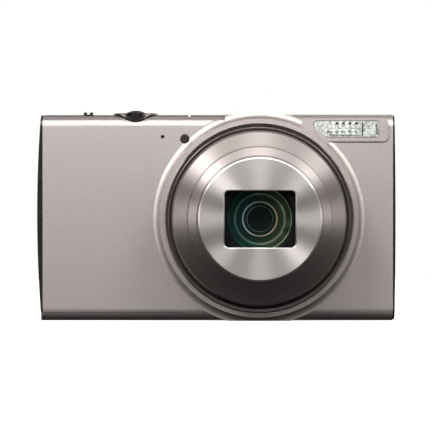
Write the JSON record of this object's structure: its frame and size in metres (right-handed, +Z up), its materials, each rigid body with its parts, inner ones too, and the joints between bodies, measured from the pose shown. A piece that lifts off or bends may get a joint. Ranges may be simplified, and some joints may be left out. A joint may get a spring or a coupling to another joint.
{
  "type": "compact digital camera",
  "caption": "Slim pocket digital camera with an extending zoom lens, sliding barrier blades, rear display and keys, and a hinged battery door.",
  "frame": {"origin": "mouth of the tripod socket, in the bottom face, half way between the body's front and rear faces", "axes": "+Z up, the lens looks along -Y, +X to the right as seen from the front"},
  "size_m": [0.1004, 0.0408, 0.0588],
  "materials": {
    "panel_metal": "bead-blasted anodised warm silver",
    "barrel_metal": "spun and anodised warm silver",
    "ring_chrome": "polished",
    "black_plastic": "fine spark-eroded texture",
    "gloss_black": "polished",
    "key_plastic": "satin",
    "dark_chrome": "polished dark",
    "lens_glass": "coated",
    "clear_plastic": "fresnel moulded",
    "lamp_plastic": "dark tinted",
    "screen_glass": "polished black",
    "steel": "zinc plated",
    "brass": "turned",
    "board": "solder mask",
    "sensor": "filter glass",
    "capacitor_sleeve": "shrink sleeve",
    "battery_shell": "satin",
    "card_plastic": "satin",
    "latch_plastic": "satin",
    "lamp_green": "translucent"
  },
  "bodies": {
    "camera": {"front_panel": "panel_metal", "top_cover": "panel_metal", "rear_cover": "black_plastic", "grip_side_trim": "gloss_black", "terminal_side_trim": "gloss_black", "strap_lug": "dark_chrome", "body_screws": "steel", "tripod_socket": "steel", "lens_trim_ring": "ring_chrome", "lens_base": "black_plastic", "flash_window": "clear_plastic", "flash_reflector": "ring_chrome", "flash_tube": "lens_glass", "flash_capacitor": "capacitor_sleeve", "focus_lamp_lens": "lamp_plastic", "microphone": "steel", "speaker": "black_plastic", "image_sensor": "sensor", "sensor_plate": "steel", "main_board": "board", "key_board": "board", "display_module": "steel", "display_cover": "screen_glass", "indicator_lamp": "lamp_green", "chassis": "steel", "battery_holder": "black_plastic", "card_socket": "steel", "usb_socket": "steel", "hdmi_socket": "steel", "zoom_motor": "steel"},
    "outer_lens": {"outer_barrel": "barrel_metal", "focus_lens": "lens_glass"},
    "middle_lens": {"middle_barrel": "barrel_metal", "shutter_unit": "black_plastic", "zoom_lens": "lens_glass"},
    "inner_lens": {"inner_barrel": "barrel_metal", "front_cap": "barrel_metal", "front_cell": "black_plastic", "front_element": "lens_glass"},
    "blade_upper_near": {"barrier_blade_upper_near": "steel"},
    "blade_upper_far": {"barrier_blade_upper_far": "steel"},
    "blade_lower_near": {"barrier_blade_lower_near": "steel"},
    "blade_lower_far": {"barrier_blade_lower_far": "steel"},
    "lever": {"zoom_lever": "dark_chrome"},
    "shutter": {"shutter_button": "ring_chrome"},
    "mode": {"mode_switch": "gloss_black"},
    "power": {"power_button": "ring_chrome"},
    "movie": {"movie_button": "key_plastic"},
    "playback": {"playback_button": "key_plastic"},
    "wireless": {"wireless_button": "key_plastic"},
    "menu": {"menu_button": "key_plastic"},
    "four_way": {"four_way_ring": "key_plastic"},
    "set": {"set_button": "key_plastic"},
    "terminal_cover": {"terminal_door": "black_plastic"},
    "door_slider": {"door_hinge_pin": "steel"},
    "door": {"battery_door": "panel_metal"},
    "battery_pack": {"battery": "battery_shell"},
    "card": {"memory_card": "card_plastic"},
    "latch": {"battery_latch": "latch_plastic"}
  },
  "joints": [
    {"name": "zoom_outer", "type": "slide", "parent": "camera", "child": "outer_lens", "axis": [0, -1, 0], "range_m": [-0.006, 0.0042]},
    {"name": "zoom_middle", "type": "slide", "parent": "outer_lens", "child": "middle_lens", "axis": [0, -1, 0], "range_m": [-0.0065, 0.00455]},
    {"name": "zoom_inner", "type": "slide", "parent": "middle_lens", "child": "inner_lens", "axis": [0, -1, 0], "range_m": [-0.0055, 0.00385]},
    {"name": "blade_upper_near_slide", "type": "slide", "parent": "inner_lens", "child": "blade_upper_near", "axis": [0, 0, -1], "range_m": [0, 0.0078]},
    {"name": "blade_upper_far_slide", "type": "slide", "parent": "inner_lens", "child": "blade_upper_far", "axis": [0, 0, -1], "range_m": [0, 0.0039]},
    {"name": "blade_lower_near_slide", "type": "slide", "parent": "inner_lens", "child": "blade_lower_near", "axis": [0, 0, 1], "range_m": [0, 0.0078]},
    {"name": "blade_lower_far_slide", "type": "slide", "parent": "inner_lens", "child": "blade_lower_far", "axis": [0, 0, 1], "range_m": [0, 0.0039]},
    {"name": "zoom_lever_turn", "type": "hinge", "parent": "camera", "child": "lever", "pos_m": [-0.0229, -0.0032, 0.057], "axis": [0, 0, 1], "range_deg": [-18, 18], "stiffness_Nm_per_rad": 0.01},
    {"name": "shutter_press", "type": "slide", "parent": "camera", "child": "shutter", "axis": [0, 0, -1], "range_m": [0, 0.0008], "stiffness_N_per_m": 400},
    {"name": "mode_switch_slide", "type": "slide", "parent": "camera", "child": "mode", "axis": [1, 0, 0], "range_m": [-0.0028, 0.0028]},
    {"name": "power_press", "type": "slide", "parent": "camera", "child": "power", "axis": [0, 0, -1], "range_m": [0, 0.0004], "stiffness_N_per_m": 600},
    {"name": "movie_press", "type": "slide", "parent": "camera", "child": "movie", "axis": [0, -1, 0], "range_m": [0, 0.0003], "stiffness_N_per_m": 600},
    {"name": "playback_press", "type": "slide", "parent": "camera", "child": "playback", "axis": [0, -1, 0], "range_m": [0, 0.0003], "stiffness_N_per_m": 600},
    {"name": "wireless_press", "type": "slide", "parent": "camera", "child": "wireless", "axis": [0, -1, 0], "range_m": [0, 0.0003], "stiffness_N_per_m": 600},
    {"name": "menu_press", "type": "slide", "parent": "camera", "child": "menu", "axis": [0, -1, 0], "range_m": [0, 0.0003], "stiffness_N_per_m": 600},
    {"name": "four_way_press", "type": "slide", "parent": "camera", "child": "four_way", "axis": [0, -1, 0], "range_m": [0, 0.0003], "stiffness_N_per_m": 600},
    {"name": "set_press", "type": "slide", "parent": "camera", "child": "set", "axis": [0, -1, 0], "range_m": [0, 0.0003], "stiffness_N_per_m": 600},
    {"name": "terminal_door_hinge", "type": "hinge", "parent": "camera", "child": "terminal_cover", "pos_m": [0.04955, 0.002, 0.0246], "axis": [0, 0, -1], "range_deg": [0, 110]},
    {"name": "door_slide", "type": "slide", "parent": "camera", "child": "door_slider", "axis": [-1, 0, 0], "range_m": [0, 0.0018]},
    {"name": "door_hinge", "type": "hinge", "parent": "door_slider", "child": "door", "pos_m": [-0.03, 0.0074, 0.0015], "axis": [1, 0, 0], "range_deg": [0, 100]},
    {"name": "battery_slide", "type": "slide", "parent": "camera", "child": "battery_pack", "axis": [0, 0, -1], "range_m": [0, 0.0172]},
    {"name": "card_slide", "type": "slide", "parent": "camera", "child": "card", "axis": [0, 0, -1], "range_m": [0, 0.0063]},
    {"name": "latch_slide", "type": "slide", "parent": "camera", "child": "latch", "axis": [0, 1, 0], "range_m": [0, 0.0004], "stiffness_N_per_m": 200}
  ],
  "couplings": [
    {"joint": "zoom_middle", "follows": "zoom_outer", "ratio": 1.083},
    {"joint": "zoom_inner", "follows": "zoom_outer", "ratio": 0.9166},
    {"joint": "blade_upper_far_slide", "follows": "blade_upper_near_slide", "ratio": 0.5},
    {"joint": "blade_lower_near_slide", "follows": "blade_upper_near_slide", "ratio": 1},
    {"joint": "blade_lower_far_slide", "follows": "blade_upper_near_slide", "ratio": 0.5},
    {"joint": "door_hinge", "follows": "battery_slide", "rad_per_m": 101},
    {"joint": "card_slide", "follows": "battery_slide", "ratio": 0.363}
  ]
}
